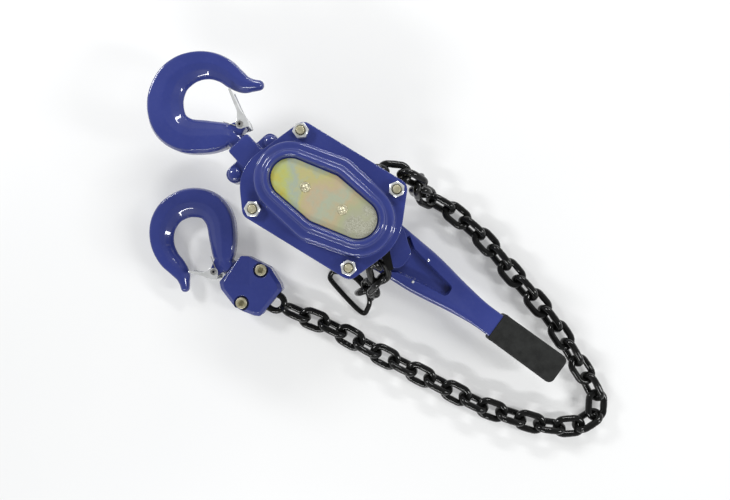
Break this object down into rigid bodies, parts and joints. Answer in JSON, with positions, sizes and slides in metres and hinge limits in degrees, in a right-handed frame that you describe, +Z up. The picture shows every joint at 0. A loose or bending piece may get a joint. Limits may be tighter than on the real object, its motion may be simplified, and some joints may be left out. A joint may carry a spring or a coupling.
{
  "type": "lever chain hoist",
  "caption": "Hand lever hoist with a geared load sheave, screw brake, swivelling safety hooks at both ends, and a free load chain, lying on its hand wheel.",
  "frame": {"origin": "bottom centre of the hoist without its free chain, on the surface it lies on", "axes": "+X along the body from the top hook towards the lever's grip, +Z up along the drive shaft, gear cover on top"},
  "size_m": [0.8054, 0.3294, 0.172],
  "materials": {
    "blue_paint": "gloss",
    "yellow_zinc": "satin, passivated yellow",
    "bright_zinc": "bright",
    "steel": "machined",
    "black_chain": "satin black",
    "grip_rubber": "matt",
    "friction_lining": "matt",
    "black_plastic": "satin"
  },
  "bodies": {
    "frame": {"gear_cover": "blue_paint", "cover_panel": "yellow_zinc", "panel_rivet_1": "yellow_zinc", "panel_rivet_2": "yellow_zinc", "gear_side_plate": "blue_paint", "brake_side_plate": "yellow_zinc", "stay_bolt_1": "yellow_zinc", "stay_bolt_2": "yellow_zinc", "stay_bolt_3": "yellow_zinc", "stay_bolt_4": "yellow_zinc", "top_pin": "steel", "cover_nut_1": "bright_zinc", "cover_nut_2": "bright_zinc", "cover_nut_3": "bright_zinc", "cover_nut_4": "bright_zinc", "brake_cover": "blue_paint", "chain_guide": "black_chain", "pawl_pin_1": "steel", "pawl_pin_2": "steel", "ratchet_disc": "steel", "sheave_bearing_1": "steel", "sheave_bearing_2": "steel", "load_chain": "black_chain", "chain_on_sheave": "black_chain", "tail_chain": "black_chain", "chain_end_ring": "black_chain", "end_link": "black_chain"},
    "sheave": {"load_sheave": "steel", "load_gear": "steel"},
    "idler_1": {"idler_gear_1": "steel"},
    "idler_2": {"idler_gear_2": "steel"},
    "drive": {"pinion_shaft": "steel", "friction_hub": "steel", "friction_disc_1": "friction_lining", "friction_disc_2": "friction_lining", "change_gear": "steel", "hand_wheel": "blue_paint"},
    "lever": {"lever_upper_shell": "blue_paint", "lever_lower_shell": "blue_paint", "lever_grip": "grip_rubber"},
    "selector": {"selector_knob": "black_plastic", "selector_pawl": "steel"},
    "pawl_1": {"brake_pawl_1": "steel"},
    "pawl_2": {"brake_pawl_2": "steel"},
    "top_yoke": {"yoke_upper": "blue_paint", "yoke_lower": "blue_paint", "yoke_rivet_1": "blue_paint", "yoke_rivet_2": "blue_paint"},
    "top_hook": {"top_hook": "blue_paint", "top_latch_pin": "bright_zinc"},
    "top_latch": {"top_latch": "bright_zinc"},
    "block": {"block_half_upper": "blue_paint", "block_half_lower": "blue_paint", "block_screw_1": "yellow_zinc", "block_screw_2": "yellow_zinc", "chain_anchor_pin": "steel"},
    "bottom_hook": {"bottom_hook": "blue_paint", "bottom_latch_pin": "bright_zinc"},
    "bottom_latch": {"bottom_latch": "bright_zinc"}
  },
  "joints": [
    {"name": "top_yoke_swing", "type": "hinge", "parent": "frame", "child": "top_yoke", "pos_m": [-0.15634, 0.05545, 0.117], "axis": [0, 0, 1], "range_deg": [-12, 25]},
    {"name": "top_hook_swivel", "type": "hinge", "parent": "top_yoke", "child": "top_hook", "pos_m": [-0.15634, 0.05545, 0.117], "axis": [0.9613, -0.2756, 0], "continuous": true},
    {"name": "top_latch_turn", "type": "hinge", "parent": "top_hook", "child": "top_latch", "pos_m": [-0.21497, 0.09151, 0.117], "axis": [0, 0, 1], "range_deg": [0, 35], "stiffness_Nm_per_rad": 0.15, "springref_deg": -34.38},
    {"name": "lever_swing", "type": "hinge", "parent": "frame", "child": "lever", "pos_m": [-0.06434, 0.06445, 0.05], "axis": [0, 0, 1], "range_deg": [-3, 18]},
    {"name": "selector_turn", "type": "hinge", "parent": "lever", "child": "selector", "pos_m": [0.02738, 0.05724, 0.048], "axis": [0, 0, 1], "range_deg": [-20, 20]},
    {"name": "drive_spin", "type": "hinge", "parent": "frame", "child": "drive", "pos_m": [-0.06434, 0.06445, 0.06], "axis": [0, 0, 1], "continuous": true},
    {"name": "idler_1_spin", "type": "hinge", "parent": "frame", "child": "idler_1", "pos_m": [-0.01334, 0.06445, 0.15], "axis": [0, 0, 1], "continuous": true},
    {"name": "idler_2_spin", "type": "hinge", "parent": "frame", "child": "idler_2", "pos_m": [-0.11534, 0.06445, 0.15], "axis": [0, 0, 1], "continuous": true},
    {"name": "sheave_spin", "type": "hinge", "parent": "frame", "child": "sheave", "pos_m": [-0.06434, 0.06445, 0.117], "axis": [0, 0, 1], "continuous": true, "deforming": ["chain_on_sheave"]},
    {"name": "pawl_1_turn", "type": "hinge", "parent": "frame", "child": "pawl_1", "pos_m": [-0.03959, 0.10732, 0.079], "axis": [0, 0, 1], "range_deg": [0, 12], "stiffness_Nm_per_rad": 0.03, "springref_deg": -17.19},
    {"name": "pawl_2_turn", "type": "hinge", "parent": "frame", "child": "pawl_2", "pos_m": [-0.08909, 0.02159, 0.079], "axis": [0, 0, 1], "range_deg": [0, 12], "stiffness_Nm_per_rad": 0.03, "springref_deg": -17.19},
    {"name": "block_swing", "type": "hinge", "parent": "frame", "child": "block", "pos_m": [-0.07518, -0.10289, 0.019], "axis": [0, 0, 1], "range_deg": [-6, 20]},
    {"name": "bottom_hook_swivel", "type": "hinge", "parent": "block", "child": "bottom_hook", "pos_m": [-0.09894, -0.09955, 0.019], "axis": [0.9903, -0.1392, 0], "continuous": true},
    {"name": "bottom_latch_turn", "type": "hinge", "parent": "bottom_hook", "child": "bottom_latch", "pos_m": [-0.15945, -0.10972, 0.019], "axis": [0, 0, 1], "range_deg": [-35, 0], "stiffness_Nm_per_rad": 0.15, "springref_deg": 34.38}
  ],
  "couplings": [
    {"joint": "idler_1_spin", "follows": "drive_spin", "ratio": -0.30769},
    {"joint": "idler_2_spin", "follows": "drive_spin", "ratio": -0.30769},
    {"joint": "sheave_spin", "follows": "drive_spin", "ratio": 0.094675}
  ]
}
